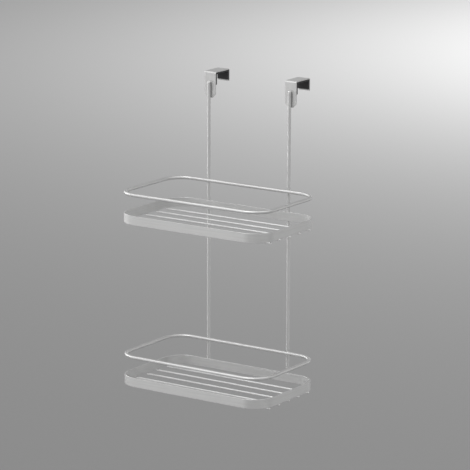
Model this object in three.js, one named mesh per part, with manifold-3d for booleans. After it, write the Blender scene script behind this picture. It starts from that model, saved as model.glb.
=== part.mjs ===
// A two-tier wire shower caddy that hangs from a flat rail.
//
// Two strap hooks with rubber liners sit over the rail. An upright rod is welded to the front of each hook and
// runs down behind two equal baskets. Each basket is a flat band bent to a rounded rectangle, with floor bars
// welded under it and a round wire rim above it.
//
// Millimetres. +Z is up, +X runs along the rail and the front of the caddy faces -Y. The origin is where the
// caddy rests on the rail: midway between the two hooks, halfway across the rail, on its top face.

import * as THREE from "three";
import Module from "manifold-3d";
import { mergeVertices } from "three/addons/utils/BufferGeometryUtils.js";

const wasm = await Module();
wasm.setup();

// ---- Driving dimensions ----

const WELD_GAP = 0.3; // clearance left between two pieces that are welded or pressed together

const RAIL_DEPTH = 28; // clear width between the two legs of a liner
const HOOK_SPACING = 138; // between the centre lines of the two hooks and of their uprights

const STRAP_WIDTH = 19;
const STRAP_THICKNESS = 1.5;
const STRAP_BEND_RADIUS = 2.6; // outside of the bends
const STRAP_PLATE_HEIGHT = 38; // from the top of the hook to the end of its front plate
const STRAP_LIP_HEIGHT = 18; // from the top of the hook to the end of its back lip
const STRAP_CHAMFER = 5.5; // on the two lower corners of the front plate

const LINER_THICKNESS = 2.2;
const LINER_FRONT_LEG = 15; // below the rail's top face
const LINER_BACK_LEG = 12;
const SHARPEST_INSIDE_BEND = 0.4;

const UPRIGHT_DIAMETER = 5;
const UPRIGHT_TOP_BELOW_HOOK = 13.5; // from the top of the hook to the rounded end of the rod
const UPRIGHT_END_ABOVE_BAND_EDGE = 1.5; // the rod stops just short of the lower band's bottom edge

const BASKET_LENGTH = 250;
const BASKET_DEPTH = 150;
const BASKET_CORNER_RADIUS = 32;
const BASKET_SPACING = 237; // from the upper basket down to the lower one
const LOWER_BASKET_DROP = 438; // from the top of the hook to the bottom edge of the lower band

const BAND_HEIGHT = 13.5;
const BAND_THICKNESS = 2;

const RIM_WIRE_DIAMETER = 5;
const RIM_HEIGHT = 43; // from the band's bottom edge to the centre of the rim wire

const FLOOR_BAR_COUNT = 5;
const FLOOR_BAR_DIAMETER = 3;
const FLOOR_BAR_INSET = 1.5; // how far each end stops short of the band's outer face

// ---- Places that follow from them ----

const hookTop = LINER_THICKNESS + WELD_GAP + STRAP_THICKNESS;
const linerHalfDepth = RAIL_DEPTH / 2 + LINER_THICKNESS;
const strapHalfDepth = linerHalfDepth + WELD_GAP + STRAP_THICKNESS;
const uprightY = -strapHalfDepth - WELD_GAP - UPRIGHT_DIAMETER / 2;
const basketBackY = uprightY - UPRIGHT_DIAMETER / 2 - WELD_GAP;
const basketCentreY = basketBackY - BASKET_DEPTH / 2;
const lowerBasketZ = hookTop - LOWER_BASKET_DROP;
const upperBasketZ = lowerBasketZ + BASKET_SPACING;

// ---- Smoothness of round shapes ----

const BEND_STEPS = 6; // in each quarter bend of a strap or liner
const BAND_CORNER_STEPS = 12; // in each quarter corner of a band
const RIM_CORNER_STEPS = 12; // in each quarter corner of a rim
const RIM_WIRE_SIDES = 12;
const ROD_SIDES = 20;
const ROD_END_STEPS = 5;

// ---- Materials ----

const stainlessSteel = { color: 0xb4b4b3, roughness: 0.38, metalness: 0.9 };
const rubber = { color: 0x2c2c2c, roughness: 0.85, metalness: 0 };

function piece(name, geometry, finish) {
  const mesh = new THREE.Mesh(geometry, new THREE.MeshStandardMaterial(finish));
  mesh.name = name;
  return mesh;
}

// ---- Solids ----

// Keeps only positions, so that neighbouring faces share their corners as a closed solid needs.
function toSolid(geometry) {
  const bare = geometry.clone();
  bare.deleteAttribute("normal");
  bare.deleteAttribute("uv");
  const merged = mergeVertices(bare, 1e-4);
  return new wasm.Manifold(
    new wasm.Mesh({
      numProp: 3,
      vertProperties: new Float32Array(merged.attributes.position.array),
      triVerts: new Uint32Array(merged.index.array),
    }),
  );
}

function fromSolid(solid) {
  const mesh = solid.getMesh();
  const geometry = new THREE.BufferGeometry();
  geometry.setAttribute("position", new THREE.BufferAttribute(mesh.vertProperties, 3));
  geometry.setIndex(new THREE.BufferAttribute(mesh.triVerts, 1));
  geometry.computeVertexNormals();
  return geometry;
}

// ---- Hooks and their liners ----

// The side view of a flat strip bent over the rail: its front leg, its top and its back leg. The shape's first
// axis is the row's Y and its second is Z.
function bentStripShape(halfDepth, top, thickness, outerRadius, frontEnd, backEnd) {
  const innerHalfDepth = halfDepth - thickness;
  const innerTop = top - thickness;
  const innerRadius = Math.max(outerRadius - thickness, SHARPEST_INSIDE_BEND);
  const quarter = Math.PI / 2;
  const shape = new THREE.Shape();
  shape.moveTo(-innerHalfDepth, frontEnd);
  shape.absarc(-innerHalfDepth + innerRadius, innerTop - innerRadius, innerRadius, 2 * quarter, quarter, true);
  shape.absarc(innerHalfDepth - innerRadius, innerTop - innerRadius, innerRadius, quarter, 0, true);
  shape.lineTo(innerHalfDepth, backEnd);
  shape.lineTo(halfDepth, backEnd);
  shape.absarc(halfDepth - outerRadius, top - outerRadius, outerRadius, 0, quarter, false);
  shape.absarc(-halfDepth + outerRadius, top - outerRadius, outerRadius, quarter, 2 * quarter, false);
  shape.lineTo(-halfDepth, frontEnd);
  shape.closePath();
  return shape;
}

// Sweeps a side view across the strip's width, centred on X = 0.
function sweepAcross(shape) {
  const geometry = new THREE.ExtrudeGeometry(shape, {
    depth: STRAP_WIDTH,
    bevelEnabled: false,
    curveSegments: BEND_STEPS,
  });
  geometry.translate(0, 0, -STRAP_WIDTH / 2);
  const alongY = new THREE.Vector3(0, 1, 0);
  const alongZ = new THREE.Vector3(0, 0, 1);
  const alongX = new THREE.Vector3(1, 0, 0);
  geometry.applyMatrix4(new THREE.Matrix4().makeBasis(alongY, alongZ, alongX));
  return geometry;
}

// The front view of a hook, swept back through its whole depth: it takes the lower corners off the front plate.
function chamferedFrontSolid() {
  const halfWidth = STRAP_WIDTH / 2;
  const bottom = hookTop - STRAP_PLATE_HEIGHT;
  const front = new THREE.Shape();
  front.moveTo(-halfWidth + STRAP_CHAMFER, bottom);
  front.lineTo(halfWidth - STRAP_CHAMFER, bottom);
  front.lineTo(halfWidth, bottom + STRAP_CHAMFER);
  front.lineTo(halfWidth, hookTop);
  front.lineTo(-halfWidth, hookTop);
  front.lineTo(-halfWidth, bottom + STRAP_CHAMFER);
  front.closePath();
  const geometry = new THREE.ExtrudeGeometry(front, { depth: 2 * strapHalfDepth, bevelEnabled: false });
  geometry.rotateX(Math.PI / 2);
  geometry.translate(0, strapHalfDepth, 0);
  return toSolid(geometry);
}

function hookStrapGeometry() {
  const side = bentStripShape(
    strapHalfDepth,
    hookTop,
    STRAP_THICKNESS,
    STRAP_BEND_RADIUS,
    hookTop - STRAP_PLATE_HEIGHT,
    hookTop - STRAP_LIP_HEIGHT,
  );
  return fromSolid(toSolid(sweepAcross(side)).intersect(chamferedFrontSolid()));
}

function hookLinerGeometry() {
  const outerRadius = STRAP_BEND_RADIUS - STRAP_THICKNESS;
  const side = bentStripShape(
    linerHalfDepth,
    LINER_THICKNESS,
    LINER_THICKNESS,
    outerRadius,
    -LINER_FRONT_LEG,
    -LINER_BACK_LEG,
  );
  return sweepAcross(side);
}

// ---- Uprights ----

// A rod that stands on z = 0, with a rounded top end.
function uprightGeometry() {
  const radius = UPRIGHT_DIAMETER / 2;
  const length = hookTop - UPRIGHT_TOP_BELOW_HOOK - lowerBasketZ - UPRIGHT_END_ABOVE_BAND_EDGE;
  const profile = [new THREE.Vector2(0, 0), new THREE.Vector2(radius, 0)];
  for (let step = 0; step < ROD_END_STEPS; step += 1) {
    const angle = (step / ROD_END_STEPS) * (Math.PI / 2);
    profile.push(new THREE.Vector2(radius * Math.cos(angle), length - radius + radius * Math.sin(angle)));
  }
  profile.push(new THREE.Vector2(0, length));
  const geometry = new THREE.LatheGeometry(profile, ROD_SIDES);
  geometry.rotateX(Math.PI / 2);
  return geometry;
}

// ---- Baskets ----

function roundedRectangle(path, length, depth, radius) {
  const x = length / 2 - radius;
  const y = depth / 2 - radius;
  const quarter = Math.PI / 2;
  path.moveTo(x + radius, -y);
  path.absarc(x, y, radius, 0, quarter, false);
  path.absarc(-x, y, radius, quarter, 2 * quarter, false);
  path.absarc(-x, -y, radius, 2 * quarter, 3 * quarter, false);
  path.absarc(x, -y, radius, 3 * quarter, 4 * quarter, false);
  path.closePath();
  return path;
}

function bandGeometry() {
  const outline = roundedRectangle(new THREE.Shape(), BASKET_LENGTH, BASKET_DEPTH, BASKET_CORNER_RADIUS);
  const inside = roundedRectangle(
    new THREE.Path(),
    BASKET_LENGTH - 2 * BAND_THICKNESS,
    BASKET_DEPTH - 2 * BAND_THICKNESS,
    BASKET_CORNER_RADIUS - BAND_THICKNESS,
  );
  outline.holes.push(inside);
  return new THREE.ExtrudeGeometry(outline, {
    depth: BAND_HEIGHT,
    bevelEnabled: false,
    curveSegments: BAND_CORNER_STEPS,
  });
}

// The centre line of a rim. Each step along it is either one slice of a corner or one whole straight side, so
// the straight sides take no more triangles than they need.
class RimCentreLine extends THREE.Curve {
  static stepsPerCorner = RIM_CORNER_STEPS + 1;

  static steps = 4 * RimCentreLine.stepsPerCorner;

  placeAt(fraction) {
    const step = Math.round(fraction * RimCentreLine.steps) % RimCentreLine.steps;
    const corner = Math.floor(step / RimCentreLine.stepsPerCorner);
    const slice = step % RimCentreLine.stepsPerCorner;
    return { corner, angle: (corner + slice / RIM_CORNER_STEPS) * (Math.PI / 2) };
  }

  getPointAt(fraction) {
    const { corner, angle } = this.placeAt(fraction);
    const radius = BASKET_CORNER_RADIUS - RIM_WIRE_DIAMETER / 2;
    const sideX = corner === 0 || corner === 3 ? 1 : -1;
    const sideY = corner < 2 ? 1 : -1;
    return new THREE.Vector3(
      sideX * (BASKET_LENGTH / 2 - BASKET_CORNER_RADIUS) + radius * Math.cos(angle),
      sideY * (BASKET_DEPTH / 2 - BASKET_CORNER_RADIUS) + radius * Math.sin(angle),
      0,
    );
  }

  getTangentAt(fraction) {
    const { angle } = this.placeAt(fraction);
    return new THREE.Vector3(-Math.sin(angle), Math.cos(angle), 0);
  }
}

// The wire closes on itself, so this tube has no open ends.
function rimGeometry() {
  const closed = true;
  const centreLine = new RimCentreLine();
  return new THREE.TubeGeometry(centreLine, RimCentreLine.steps, RIM_WIRE_DIAMETER / 2, RIM_WIRE_SIDES, closed);
}

function floorBarGeometry() {
  const length = BASKET_LENGTH - 2 * FLOOR_BAR_INSET;
  const radius = FLOOR_BAR_DIAMETER / 2;
  const geometry = new THREE.CylinderGeometry(radius, radius, length, ROD_SIDES);
  geometry.rotateZ(Math.PI / 2);
  return geometry;
}

// A basket's own origin is the centre of its plan, at the bottom edge of its band.
function basket(prefix) {
  const group = new THREE.Group();
  group.add(piece(`${prefix}_basket_band`, bandGeometry(), stainlessSteel));

  const rim = piece(`${prefix}_basket_rim`, rimGeometry(), stainlessSteel);
  rim.position.z = RIM_HEIGHT;
  group.add(rim);

  const barPitch = BASKET_DEPTH / (FLOOR_BAR_COUNT + 1);
  for (let number = 1; number <= FLOOR_BAR_COUNT; number += 1) {
    const bar = piece(`${prefix}_floor_bar_${number}`, floorBarGeometry(), stainlessSteel);
    bar.position.y = -BASKET_DEPTH / 2 + number * barPitch;
    bar.position.z = -WELD_GAP - FLOOR_BAR_DIAMETER / 2;
    group.add(bar);
  }
  return group;
}

// ---- Assembly ----

const caddy = new THREE.Group();

for (const [side, direction] of [["left", -1], ["right", 1]]) {
  const x = (direction * HOOK_SPACING) / 2;

  const strap = piece(`${side}_hook_strap`, hookStrapGeometry(), stainlessSteel);
  strap.position.x = x;
  caddy.add(strap);

  const liner = piece(`${side}_hook_liner`, hookLinerGeometry(), rubber);
  liner.position.x = x;
  caddy.add(liner);

  const upright = piece(`${side}_upright`, uprightGeometry(), stainlessSteel);
  upright.position.set(x, uprightY, lowerBasketZ + UPRIGHT_END_ABOVE_BAND_EDGE);
  caddy.add(upright);
}

for (const [prefix, z] of [["upper", upperBasketZ], ["lower", lowerBasketZ]]) {
  const tier = basket(prefix);
  tier.position.set(0, basketCentreY, z);
  caddy.add(tier);
}

export default caddy;
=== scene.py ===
"""The looks of a two-tier stainless steel shower caddy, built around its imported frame.

Every CAD node is replaced by a finer piece of the same size in the same place: round wires and
rods, strips with eased edges bent round the same curves, and rubber liners. The small welds that
hold them together are added.

Metres; +Z is up, +X runs along the rail and the caddy's front faces -Y.
"""

import math
import random

import bmesh
import bpy
from mathutils import Matrix, Vector, noise


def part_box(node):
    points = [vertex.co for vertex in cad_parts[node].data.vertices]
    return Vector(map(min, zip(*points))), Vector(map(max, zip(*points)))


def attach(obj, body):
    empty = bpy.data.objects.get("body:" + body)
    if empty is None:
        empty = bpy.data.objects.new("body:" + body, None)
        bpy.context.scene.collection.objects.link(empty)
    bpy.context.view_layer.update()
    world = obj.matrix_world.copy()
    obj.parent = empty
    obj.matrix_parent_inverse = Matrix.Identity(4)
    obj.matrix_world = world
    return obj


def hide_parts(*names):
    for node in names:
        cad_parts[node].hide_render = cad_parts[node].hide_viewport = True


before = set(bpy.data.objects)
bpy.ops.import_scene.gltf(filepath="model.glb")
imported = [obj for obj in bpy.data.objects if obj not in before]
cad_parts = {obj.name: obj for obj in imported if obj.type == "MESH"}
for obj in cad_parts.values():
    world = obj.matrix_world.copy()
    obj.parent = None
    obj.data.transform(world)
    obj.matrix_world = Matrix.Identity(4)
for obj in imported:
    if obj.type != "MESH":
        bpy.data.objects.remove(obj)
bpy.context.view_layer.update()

MM = 0.001
QUARTER = math.pi / 2  # a quarter turn
SIDES = ("left", "right")
TIERS = ("upper", "lower")
GRAIN_UV = "grain"  # the map that runs along and around each strip or wire, in metres
EDGE_MASK = "edge"  # 1 on the eased edges of a strip and 0 on its flats

# ---- Sizes that the frame's boxes don't give ----

STRAP_THICKNESS = 1.5 * MM
STRAP_BEND_RADIUS = 2.6 * MM  # outside of the bend
STRAP_CHAMFER = 5.5 * MM
STRAP_EDGE_RADIUS = 0.35 * MM
LINER_THICKNESS = 2.2 * MM
LINER_BEND_RADIUS = 2.7 * MM
LINER_EDGE_RADIUS = 0.5 * MM
BAND_THICKNESS = 2.0 * MM
BAND_EDGE_RADIUS = 0.45 * MM
BASKET_CORNER_RADIUS = 32.0 * MM
ROD_EDGE_RADIUS = 0.5 * MM

# The radius of a dome's last ring and of a strip's end corners, so that no face is empty.
SMALLEST_RADIUS = 0.05 * MM

# ---- Welds. Their radii are half of their size along X, Y and Z ----

HOOK_WELD_HALF_WIDTH = 1.3 * MM
HOOK_WELD_HALF_DEPTH = 0.45 * MM
RIM_WELD_RADII = (1.5 * MM, 0.5 * MM, 1.5 * MM)
BAND_WELD_RADII = (1.3 * MM, 0.45 * MM, 4.8 * MM)
BAR_WELD_RADII = (1.0 * MM, 1.1 * MM, 0.45 * MM)
WELD_LUMPS = 0.10  # the height of a weld's lumps, as a share of its own size
WELD_RIPPLES = 0.03  # and of the finer ripples on them
LUMPS_PER_RADIUS = 1.7
RIPPLES_PER_RADIUS = 6
NOISE_SHIFT = 40  # how far a weld's noise may be shifted, so that no two welds are alike

# ---- Smoothness ----

WIRE_SIDES = 28
CORNER_STEPS = 28  # in each quarter corner of a rim or band
BEND_STEPS = 10  # in each quarter bend of a strap or liner
EDGE_STEPS = 4  # in each eased edge
END_STEPS = 6  # in each rounded or eased end
WELD_SUBDIVISIONS = 3

# ---- Finish of the steel ----

STRIP_GRAIN = (18 * MM, 0.35 * MM, 0.02 * MM)  # length, width and depth of the fine lines
WIRE_GRAIN = (40 * MM, 0.30 * MM, 0.01 * MM)
STREAK_SCALE = 4  # how many times longer and wider the streaks are than the fine lines
MARKS_PER_METRE = 22.0  # handling marks
CLOUDS_PER_METRE = 7.0  # broad, faint changes of tone
DARKER_SHARES = (0.91, 0.91, 0.905)  # of the steel's tone, as red, green and blue
LIGHTER_SHARES = (1.08, 1.08, 1.075)
EDGE_POLISH = 0.72  # the roughness of the eased edges, as a share of the flats' roughness
GRAIN_BUMP = 0.35
MARKS_TONE = (-0.25, 0.45)  # what each noise adds to the tone, from 0 for the darker colour to 1
CLOUDS_TONE = (-0.25, 0.25)
STREAKS_TONE = (-0.3, 1.1)
GRAIN_ROUGHNESS = (-0.06, 0.06)  # what each noise adds to the roughness
MARKS_ROUGHNESS = (-0.05, 0.05)

# ---- Finish of the welds and the rubber ----

PITS_PER_METRE = 900.0
STAINS_PER_METRE = 300.0
PIT_DEPTH = 0.05 * MM
PIT_BUMP = 0.5
WELD_DARKER = (0.50, 0.49, 0.48)
WELD_LIGHTER = (0.60, 0.595, 0.585)
WELD_ROUGHNESS = (0.36, 0.56)
PEBBLES_PER_METRE = 1600.0
RUBS_PER_METRE = 120.0
PEBBLE_DEPTH = 0.12 * MM
PEBBLE_BUMP = 0.4
RUBBER_DARKER = (0.018, 0.018, 0.019)
RUBBER_LIGHTER = (0.05, 0.05, 0.051)
RUBBER_ROUGHNESS = (0.62, 0.9)

# ---- Camera ----

VIEW_AZIMUTH = math.radians(34.14)
VIEW_ELEVATION = math.radians(12.9)
VIEW_ROLL = math.radians(0.2)
VIEW_DISTANCE = 4.23
VIEW_TARGET = Vector((0.0301, -0.0991, -0.2086))
LENS_MM = 229.8
VIEW_REACH = 60.0  # how far the camera sees

# ---- Studio ----

SOFTBOX_SIDE = 1.7
SOFTBOX_DISTANCE = 2.4
FLOOR_Z = -3.0  # far enough down that the key lights hardly reach the floor
FLOOR_REACH = 24.0
FLOOR_GREYS = (0.49, 0.51)
FLOOR_ROUGHNESS = 0.9
SPECKLES_PER_METRE = 60.0
BACKDROP_PLACE = Vector((-6.5, 17.8, 2.0))
BACKDROP_SIDE = 4.8
BACKDROP_WATTS = 650
ROOM_GREY = 0.8
ROOM_STRENGTH = 0.52


# ---------------------------------------------------------------- shapes


def middle(node):
    low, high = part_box(node)
    return (low + high) / 2


def extent(node):
    low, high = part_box(node)
    return high - low


def bar_numbers(tier):
    """The numbers of a basket's floor bars, from the front one."""
    number = 1
    while f"{tier}_floor_bar_{number}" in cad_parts:
        yield number
        number += 1


def running_lengths(points, closed):
    """The distance from the first point to each point, and to the first again if the row closes."""
    lengths = [0.0]
    following = points[1:] + (points[:1] if closed else [])
    for here, there in zip(points, following):
        lengths.append(lengths[-1] + (there - here).length)
    return lengths


def loft(name, rings, edge_mask=None, closed=False):
    """A skin through rings of points. It closes on itself, or has a flat cap at each end."""
    count = len(rings[0])
    centres = [sum(ring, Vector()) / count for ring in rings]
    along = running_lengths(centres, closed)
    around = running_lengths(rings[len(rings) // 2], True)

    shape = bmesh.new()
    grain = shape.loops.layers.uv.new(GRAIN_UV)
    edge = shape.verts.layers.float.new(EDGE_MASK)
    rows = [[shape.verts.new(point) for point in ring] for ring in rings]
    for row in rows:
        for index, vertex in enumerate(row):
            vertex[edge] = edge_mask[index] if edge_mask else 0.0

    bays = len(rings) if closed else len(rings) - 1
    for bay in range(bays):
        here, there = rows[bay], rows[(bay + 1) % len(rings)]
        for side in range(count):
            beside = (side + 1) % count
            face = shape.faces.new((here[side], there[side], there[beside], here[beside]))
            places = ((bay, side), (bay + 1, side), (bay + 1, side + 1), (bay, side + 1))
            for corner, (step, turn) in zip(face.loops, places):
                corner[grain].uv = (along[step], around[turn])
    if not closed:
        for row in (rows[0], rows[-1]):
            cap = shape.faces.new(row)
            for corner in cap.loops:
                offset = corner.vert.co - row[0].co
                corner[grain].uv = (offset.x + offset.z, offset.y)
    return finish_mesh(name, shape)


def finish_mesh(name, shape):
    """Turns a bmesh into a smooth-shaded object whose flats stay flat."""
    bmesh.ops.recalc_face_normals(shape, faces=shape.faces)
    for face in shape.faces:
        face.smooth = True
    mesh = bpy.data.meshes.new(name)
    shape.to_mesh(mesh)
    shape.free()
    piece = bpy.data.objects.new(name, mesh)
    bpy.context.scene.collection.objects.link(piece)
    flats = piece.modifiers.new("flats", "WEIGHTED_NORMAL")
    flats.weight = 100
    return piece


def circle_section(radius):
    angles = [index * 2 * math.pi / WIRE_SIDES for index in range(WIRE_SIDES)]
    return [(radius * math.cos(angle), radius * math.sin(angle)) for angle in angles]


def strip_section(width, thickness, edge_radius):
    """A rectangle with eased edges as (across, through) pairs, and a mask that marks the edges."""
    corners = ((1, 1, 0), (-1, 1, 1), (-1, -1, 2), (1, -1, 3))
    section, mask = [], []
    for side_a, side_b, quarter in corners:
        for step in range(EDGE_STEPS + 1):
            angle = (quarter + step / EDGE_STEPS) * QUARTER
            across = side_a * (width / 2 - edge_radius) + edge_radius * math.cos(angle)
            through = side_b * (thickness / 2 - edge_radius) + edge_radius * math.sin(angle)
            section.append((across, through))
            mask.append(0.0 if step in (0, EDGE_STEPS) else 1.0)
    return section, mask


def place_section(section, origin, across, through):
    return [origin + across * a + through * b for a, b in section]


# ---- Baskets: closed rings round a rounded rectangle ----


def rounded_rectangle(length, depth, radius, height, centre):
    """(point, outward direction) pairs round a level rounded rectangle."""
    places = []
    sides = ((1, 1), (-1, 1), (-1, -1), (1, -1))
    for quarter, (side_x, side_y) in enumerate(sides):
        for step in range(CORNER_STEPS + 1):
            angle = (quarter + step / CORNER_STEPS) * QUARTER
            outward = Vector((math.cos(angle), math.sin(angle), 0))
            corner = Vector((side_x * (length / 2 - radius), side_y * (depth / 2 - radius), 0))
            point = centre + corner + outward * radius
            point.z = height
            places.append((point, outward))
    return places


def ring_piece(name, node, section, mask, inset):
    """Sweeps a section round a basket's plan, its middle inset from the node's outline."""
    size = extent(node)
    centre = middle(node)
    path = rounded_rectangle(
        size.x - 2 * inset, size.y - 2 * inset, BASKET_CORNER_RADIUS - inset, centre.z, centre
    )
    up = Vector((0, 0, 1))
    rings = [place_section(section, point, outward, up) for point, outward in path]
    return loft(name, rings, mask, closed=True)


def basket_rim(tier):
    node = f"{tier}_basket_rim"
    radius = extent(node).z / 2
    return ring_piece(f"{tier}_rim", node, circle_section(radius), None, radius)


def basket_band(tier):
    node = f"{tier}_basket_band"
    section, mask = strip_section(BAND_THICKNESS, extent(node).z, BAND_EDGE_RADIUS)
    return ring_piece(f"{tier}_band", node, section, mask, BAND_THICKNESS / 2)


# ---- Straight rods ----


def rod_piece(name, node, axis, start_ease, end_ease):
    """A round rod that fills a node's box. Each end is eased by its own radius, up to a dome."""
    low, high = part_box(node)
    size = high - low
    centre = (low + high) / 2
    axis = Vector(axis)
    length = abs(size.dot(axis))
    across = Vector((0, 1, 0)) if abs(axis.x) > 0.5 else Vector((1, 0, 0))
    through = axis.cross(across)
    radius = abs(size.dot(across)) / 2
    start = centre - axis * length / 2

    stations = []
    for step in range(END_STEPS + 1):
        angle = step / END_STEPS * QUARTER
        reach = start_ease * (1 - math.cos(angle))
        stations.append((reach, radius - start_ease * (1 - math.sin(angle))))
    for step in range(END_STEPS, -1, -1):
        angle = step / END_STEPS * QUARTER
        reach = length - end_ease * (1 - math.cos(angle))
        stations.append((reach, radius - end_ease * (1 - math.sin(angle))))

    rings = []
    for reach, station_radius in stations:
        section = circle_section(max(station_radius, SMALLEST_RADIUS))
        rings.append(place_section(section, start + axis * reach, across, through))
    return loft(name, rings)


def upright_rod(side):
    node = f"{side}_upright"
    dome = extent(node).x / 2
    return rod_piece(f"{side}_rod", node, (0, 0, 1), ROD_EDGE_RADIUS, dome)


def floor_bar(tier, number):
    node = f"{tier}_floor_bar_{number}"
    return rod_piece(f"{tier}_bar_{number}", node, (1, 0, 0), ROD_EDGE_RADIUS, ROD_EDGE_RADIUS)


# ---- Hooks and liners: flat strips bent over the rail ----


def bent_path(node, thickness, bend_radius):
    """(point, outward direction) pairs down the middle of a strip that is bent over the rail.

    They run from the lower end of its front leg to the end of its back leg.
    """
    low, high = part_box(node)
    x = (low.x + high.x) / 2
    front = low.y + thickness / 2
    back = high.y - thickness / 2
    top = high.z - thickness / 2
    radius = bend_radius - thickness / 2
    back_end = back_leg_end(node)

    places = [(Vector((x, front, low.z)), Vector((0, -1, 0)))]
    for side, centre_y in ((-1, front + radius), (1, back - radius)):
        for step in range(BEND_STEPS + 1):
            turn = step / BEND_STEPS * QUARTER
            angle = math.pi - turn if side < 0 else QUARTER - turn
            outward = Vector((0, math.cos(angle), math.sin(angle)))
            centre = Vector((x, centre_y, top - radius))
            places.append((centre + outward * radius, outward))
    places.append((Vector((x, back, back_end)), Vector((0, 1, 0))))
    return places


def back_leg_end(node):
    """The height of the end of a strip's back leg, read from the CAD node's own mesh."""
    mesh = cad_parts[node].data
    low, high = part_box(node)
    middle_y = (low.y + high.y) / 2
    return min(vertex.co.z for vertex in mesh.vertices if vertex.co.y > middle_y)


def stretch_ends(places, distances):
    """Adds places at the given distances from each end of a path's straight first and last legs."""
    first, outward_first = places[0]
    second = places[1][0]
    last, outward_last = places[-1]
    before_last = places[-2][0]
    start_way = (second - first).normalized()
    end_way = (before_last - last).normalized()
    head = [(first + start_way * distance, outward_first) for distance in distances]
    tail = [(last + end_way * distance, outward_last) for distance in reversed(distances)]
    return head + places[1:-1] + tail


def bent_strip(name, node, thickness, bend_radius, edge_radius, chamfer=0.0):
    """A flat strip bent over the rail. A chamfer cuts the lower corners of its front leg."""
    width = extent(node).x
    turns = [step / END_STEPS * QUARTER for step in range(END_STEPS + 1)]
    eases = [edge_radius * (1 - math.cos(turn)) for turn in turns]
    distances = sorted(set(eases + [chamfer])) if chamfer else eases
    places = stretch_ends(bent_path(node, thickness, bend_radius), distances)
    along = running_lengths([point for point, _ in places], False)
    total = along[-1]
    across = Vector((1, 0, 0))

    rings = []
    for (point, outward), reach in zip(places, along):
        corner_cut = max(0.0, chamfer - reach)
        missing = max(0.0, edge_radius - min(reach, total - reach))
        ease = edge_radius - math.sqrt(edge_radius**2 - missing**2)
        corner_radius = max(edge_radius - ease, SMALLEST_RADIUS)
        ring_width = width - 2 * corner_cut - 2 * ease
        section, mask = strip_section(ring_width, thickness - 2 * ease, corner_radius)
        rings.append(place_section(section, point, across, outward))
    return loft(name, rings, mask)


def hook_strap(side):
    node = f"{side}_hook_strap"
    return bent_strip(
        f"{side}_hook", node, STRAP_THICKNESS, STRAP_BEND_RADIUS, STRAP_EDGE_RADIUS, STRAP_CHAMFER
    )


def hook_liner(side):
    node = f"{side}_hook_liner"
    return bent_strip(f"{side}_liner", node, LINER_THICKNESS, LINER_BEND_RADIUS, LINER_EDGE_RADIUS)


# ---- Welds ----


def add_nugget(shape, centre, radii, chance):
    """Adds one small uneven lens of weld metal."""
    made = bmesh.ops.create_icosphere(shape, subdivisions=WELD_SUBDIVISIONS, radius=1.0)
    shift = Vector([chance.uniform(-NOISE_SHIFT, NOISE_SHIFT) for _ in range(3)])
    for vertex in made["verts"]:
        lumps = WELD_LUMPS * noise.noise(vertex.co * LUMPS_PER_RADIUS + shift)
        ripples = WELD_RIPPLES * noise.noise(vertex.co * RIPPLES_PER_RADIUS + shift)
        swell = 1 + lumps + ripples
        axes = zip(centre, vertex.co, radii)
        vertex.co = Vector([start + place * radius * swell for start, place, radius in axes])


def welds(name, places):
    """One piece that holds many nuggets, each given as (centre, radii)."""
    chance = random.Random(name)
    shape = bmesh.new()
    shape.loops.layers.uv.new(GRAIN_UV)
    for centre, radii in places:
        add_nugget(shape, centre, radii, chance)
    return finish_mesh(name, shape)


def hook_welds(side):
    """The long weld between an upright and the front plate of its hook."""
    rod_low, rod_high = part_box(f"{side}_upright")
    strap_low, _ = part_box(f"{side}_hook_strap")
    radius = (rod_high.x - rod_low.x) / 2
    top = rod_high.z - radius
    bottom = strap_low.z
    x = (rod_low.x + rod_high.x) / 2
    y = (rod_high.y + strap_low.y) / 2
    centre = Vector((x, y, (top + bottom) / 2))
    radii = (HOOK_WELD_HALF_WIDTH, HOOK_WELD_HALF_DEPTH, (top - bottom) / 2)
    return welds(f"{side}_hook_weld", [(centre, radii)])


def basket_welds(tier):
    """Welds between a basket and the two uprights, and between its band and its floor bars."""
    band_low, band_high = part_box(f"{tier}_basket_band")
    rim = middle(f"{tier}_basket_rim")
    places = []
    for side in SIDES:
        rod_low, rod_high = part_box(f"{side}_upright")
        x = (rod_low.x + rod_high.x) / 2
        y = (rod_low.y + band_high.y) / 2
        band_middle = (band_low.z + band_high.z) / 2
        places.append((Vector((x, y, rim.z)), RIM_WELD_RADII))
        places.append((Vector((x, y, band_middle)), BAND_WELD_RADII))
    for number in bar_numbers(tier):
        bar_low, bar_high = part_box(f"{tier}_floor_bar_{number}")
        y = (bar_low.y + bar_high.y) / 2
        z = (bar_high.z + band_low.z) / 2
        for x in (bar_low.x + BAND_THICKNESS / 2, bar_high.x - BAND_THICKNESS / 2):
            places.append((Vector((x, y, z)), BAR_WELD_RADII))
    return welds(f"{tier}_basket_welds", places)


# ---------------------------------------------------------------- materials


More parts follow.
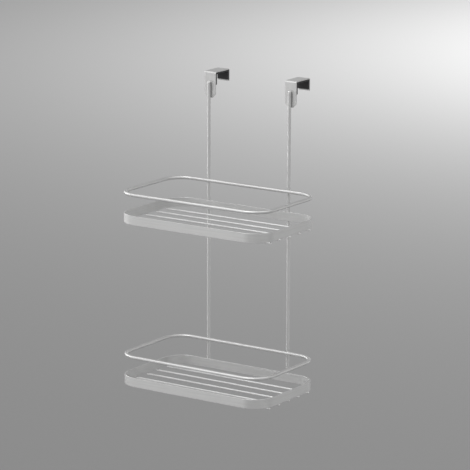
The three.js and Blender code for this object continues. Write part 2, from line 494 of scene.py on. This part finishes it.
class Nodes:
    """A short way to write a material's node tree."""

    def __init__(self, name):
        self.material = bpy.data.materials.new(name)
        self.material.use_nodes = True
        self.tree = self.material.node_tree
        self.shader = self.tree.nodes["Principled BSDF"]

    def add(self, kind, inputs=None, **settings):
        node = self.tree.nodes.new(kind)
        for key, value in settings.items():
            setattr(node, key, value)
        for key, value in (inputs or {}).items():
            if isinstance(value, bpy.types.NodeSocket):
                self.tree.links.new(value, node.inputs[key])
            else:
                node.inputs[key].default_value = value
        return node

    def shade(self, **inputs):
        for key, value in inputs.items():
            socket = self.shader.inputs[key.replace("_", " ")]
            if isinstance(value, bpy.types.NodeSocket):
                self.tree.links.new(value, socket)
            else:
                socket.default_value = value

    def noise(self, vector, scale, detail, roughness=0.55):
        inputs = {"Vector": vector, "Scale": scale, "Detail": detail, "Roughness": roughness}
        return self.add("ShaderNodeTexNoise", inputs).outputs["Fac"]

    def streaks(self, length, width):
        """Noise drawn out along a piece, as brushing leaves it."""
        uv = self.add("ShaderNodeUVMap", uv_map=GRAIN_UV).outputs["UV"]
        inputs = {"Vector": uv, "Scale": (1 / length, 1 / width, 1)}
        mapping = self.add("ShaderNodeMapping", inputs)
        return self.noise(mapping.outputs["Vector"], 1.0, detail=4.0)

    def spread(self, value, low, high):
        """Maps 0..1 to low..high."""
        inputs = {"Value": value, "To Min": low, "To Max": high}
        return self.add("ShaderNodeMapRange", inputs).outputs["Result"]

    def sum(self, first, second):
        return self.add("ShaderNodeMath", {0: first, 1: second}, operation="ADD").outputs[0]

    def blend_colours(self, factor, first, second):
        mix = self.add("ShaderNodeMix", data_type="RGBA")
        self.tree.links.new(factor, mix.inputs["Factor"])
        mix.inputs["A"].default_value = (*first, 1)
        mix.inputs["B"].default_value = (*second, 1)
        return next(socket for socket in mix.outputs if socket.type == "RGBA")


def steel(name, tone, roughness, grain_size):
    """Satin stainless steel: fine lines and wider streaks along it, faint marks, smoother edges."""
    grain_length, grain_width, grain_depth = grain_size
    nodes = Nodes(name)
    place = nodes.add("ShaderNodeTexCoord").outputs["Object"]
    grain = nodes.streaks(grain_length, grain_width)
    streaks = nodes.streaks(grain_length * STREAK_SCALE, grain_width * STREAK_SCALE)
    marks = nodes.noise(place, MARKS_PER_METRE, detail=5.0, roughness=0.6)
    clouds = nodes.noise(place, CLOUDS_PER_METRE, detail=2.0)
    edge = nodes.add("ShaderNodeAttribute", attribute_name=EDGE_MASK).outputs["Fac"]

    darker = tuple(tone * share for share in DARKER_SHARES)
    lighter = tuple(tone * share for share in LIGHTER_SHARES)
    patches = nodes.sum(nodes.spread(marks, *MARKS_TONE), nodes.spread(clouds, *CLOUDS_TONE))
    patches = nodes.sum(patches, nodes.spread(streaks, *STREAKS_TONE))
    finish = nodes.sum(nodes.spread(grain, *GRAIN_ROUGHNESS), nodes.spread(marks, *MARKS_ROUGHNESS))
    polish = nodes.spread(edge, roughness, roughness * EDGE_POLISH)
    bump_inputs = {"Height": grain, "Strength": GRAIN_BUMP, "Distance": grain_depth}
    nodes.shade(
        Base_Color=nodes.blend_colours(patches, darker, lighter),
        Metallic=1.0,
        Roughness=nodes.sum(polish, finish),
        Normal=nodes.add("ShaderNodeBump", bump_inputs).outputs["Normal"],
    )
    return nodes.material


def weld_metal():
    """Weld metal: the same steel, darker and slightly pitted."""
    nodes = Nodes("weld_metal")
    place = nodes.add("ShaderNodeTexCoord").outputs["Object"]
    pits = nodes.noise(place, PITS_PER_METRE, detail=4.0)
    stain = nodes.noise(place, STAINS_PER_METRE, detail=2.0)
    bump_inputs = {"Height": pits, "Strength": PIT_BUMP, "Distance": PIT_DEPTH}
    nodes.shade(
        Base_Color=nodes.blend_colours(stain, WELD_DARKER, WELD_LIGHTER),
        Metallic=1.0,
        Roughness=nodes.spread(pits, *WELD_ROUGHNESS),
        Normal=nodes.add("ShaderNodeBump", bump_inputs).outputs["Normal"],
    )
    return nodes.material


def liner_rubber():
    """Dark rubber with a fine pebbled skin and a few paler rubbed patches."""
    nodes = Nodes("liner_rubber")
    place = nodes.add("ShaderNodeTexCoord").outputs["Object"]
    cell_inputs = {"Vector": place, "Scale": PEBBLES_PER_METRE}
    cells = nodes.add("ShaderNodeTexVoronoi", cell_inputs).outputs["Distance"]
    rubbed = nodes.noise(place, RUBS_PER_METRE, detail=3.0)
    bump_inputs = {"Height": cells, "Strength": PEBBLE_BUMP, "Distance": PEBBLE_DEPTH}
    nodes.shade(
        Base_Color=nodes.blend_colours(rubbed, RUBBER_DARKER, RUBBER_LIGHTER),
        Metallic=0.0,
        Roughness=nodes.spread(rubbed, *RUBBER_ROUGHNESS),
        Normal=nodes.add("ShaderNodeBump", bump_inputs).outputs["Normal"],
    )
    return nodes.material


# ---------------------------------------------------------------- assembly


def fit_out(piece, material, slot, *nodes):
    """Gives a finished piece its material and ties it to the frame."""
    piece.data.materials.append(material)
    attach(piece, "root")
    if nodes:
        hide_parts(*nodes)


def build_caddy():
    strip_steel = steel("strip_steel", tone=0.64, roughness=0.60, grain_size=STRIP_GRAIN)
    wire_steel = steel("wire_steel", tone=0.66, roughness=0.50, grain_size=WIRE_GRAIN)
    # The floor bars get a lighter copy of the wire steel. Its higher tone is painted light, making
    # the bars brighter than the lamps alone make them.
    bar_steel_painted_lighter = steel("bar_steel_painted_lighter", tone=0.74, roughness=0.44, grain_size=WIRE_GRAIN)
    weld = weld_metal()
    rubber = liner_rubber()
    metal_slot = "stainless_steel"
    for side in SIDES:
        fit_out(hook_strap(side), strip_steel, metal_slot, f"{side}_hook_strap")
        fit_out(hook_liner(side), rubber, "rubber_liner", f"{side}_hook_liner")
        fit_out(upright_rod(side), wire_steel, metal_slot, f"{side}_upright")
        fit_out(hook_welds(side), weld, metal_slot)
    for tier in TIERS:
        fit_out(basket_band(tier), strip_steel, metal_slot, f"{tier}_basket_band")
        fit_out(basket_rim(tier), wire_steel, metal_slot, f"{tier}_basket_rim")
        fit_out(basket_welds(tier), weld, metal_slot)
        for number in bar_numbers(tier):
            fit_out(floor_bar(tier, number), bar_steel_painted_lighter, metal_slot, f"{tier}_floor_bar_{number}")


# ---------------------------------------------------------------- camera, floor and light


def direction(azimuth, elevation):
    """The way from the object to a viewer. Azimuth 0 is in front, and +X is at 90 degrees."""
    return Vector(
        (
            math.sin(azimuth) * math.cos(elevation),
            -math.cos(azimuth) * math.cos(elevation),
            math.sin(elevation),
        )
    )


def add_camera():
    to_viewer = direction(VIEW_AZIMUTH, VIEW_ELEVATION)
    level_right = Vector((0, 0, 1)).cross(to_viewer).normalized()
    level_up = to_viewer.cross(level_right)
    right = level_right * math.cos(VIEW_ROLL) + level_up * math.sin(VIEW_ROLL)
    up = to_viewer.cross(right)
    camera = bpy.data.objects.new("camera", bpy.data.cameras.new("camera"))
    camera.data.lens = LENS_MM
    camera.data.clip_end = VIEW_REACH
    turn = Matrix((right, up, to_viewer)).transposed().to_4x4()
    camera.matrix_world = Matrix.Translation(VIEW_TARGET + to_viewer * VIEW_DISTANCE) @ turn
    bpy.context.scene.collection.objects.link(camera)
    bpy.context.scene.camera = camera


def add_square_light(name, place, facing, side, watts):
    """An area light that no camera sees."""
    light = bpy.data.lights.new(name, "AREA")
    light.shape = "SQUARE"
    light.size = side
    light.energy = watts
    lamp = bpy.data.objects.new(name, light)
    lamp.location = place
    lamp.rotation_euler = (-facing).to_track_quat("Z", "Y").to_euler()
    lamp.visible_camera = False
    bpy.context.scene.collection.objects.link(lamp)


def add_softbox(name, azimuth, elevation, brightness):
    """A softbox that faces the caddy. Its brightness doesn't depend on its size."""
    away = direction(math.radians(azimuth), math.radians(elevation))
    watts = brightness * math.pi * SOFTBOX_SIDE**2
    add_square_light(name, VIEW_TARGET + away * SOFTBOX_DISTANCE, -away, SOFTBOX_SIDE, watts)


def add_backdrop_light():
    """Brightens the far floor, at the top of the picture. It hardly reaches the caddy."""
    down = Vector((0, 0, -1))
    add_square_light("backdrop", BACKDROP_PLACE, down, BACKDROP_SIDE, BACKDROP_WATTS)


def add_lights():
    add_softbox("front_key", azimuth=-10, elevation=50, brightness=4.1)
    add_softbox("left_key", azimuth=-85, elevation=12, brightness=2.4)
    add_softbox("right_key", azimuth=90, elevation=50, brightness=1.4)
    add_softbox("right_fill", azimuth=85, elevation=-20, brightness=0.5)
    add_softbox("back_fill", azimuth=150, elevation=-8, brightness=0.6)
    add_softbox("low_left_fill", azimuth=-35, elevation=-15, brightness=0.82)
    add_softbox("low_right_fill", azimuth=35, elevation=-15, brightness=0.3)
    add_backdrop_light()


def studio_grey():
    """A plain pale grey floor."""
    nodes = Nodes("studio_grey")
    place = nodes.add("ShaderNodeTexCoord").outputs["Object"]
    speckle = nodes.noise(place, SPECKLES_PER_METRE, detail=2.0)
    darker, lighter = ((grey, grey, grey) for grey in FLOOR_GREYS)
    nodes.shade(
        Base_Color=nodes.blend_colours(speckle, darker, lighter),
        Roughness=FLOOR_ROUGHNESS,
    )
    return nodes.material


def add_floor():
    shape = bmesh.new()
    bmesh.ops.create_grid(shape, x_segments=1, y_segments=1, size=FLOOR_REACH)
    floor = finish_mesh("floor", shape)
    floor.location = (0, 0, FLOOR_Z)
    floor.data.materials.append(studio_grey())


def add_world():
    world = bpy.data.worlds.new("studio")
    world.use_nodes = True
    background = world.node_tree.nodes["Background"]
    background.inputs["Color"].default_value = (ROOM_GREY, ROOM_GREY, ROOM_GREY, 1)
    background.inputs["Strength"].default_value = ROOM_STRENGTH
    bpy.context.scene.world = world


add_camera()
build_caddy()
add_floor()
add_world()
add_lights()
bpy.context.scene.view_settings.view_transform = "Standard"
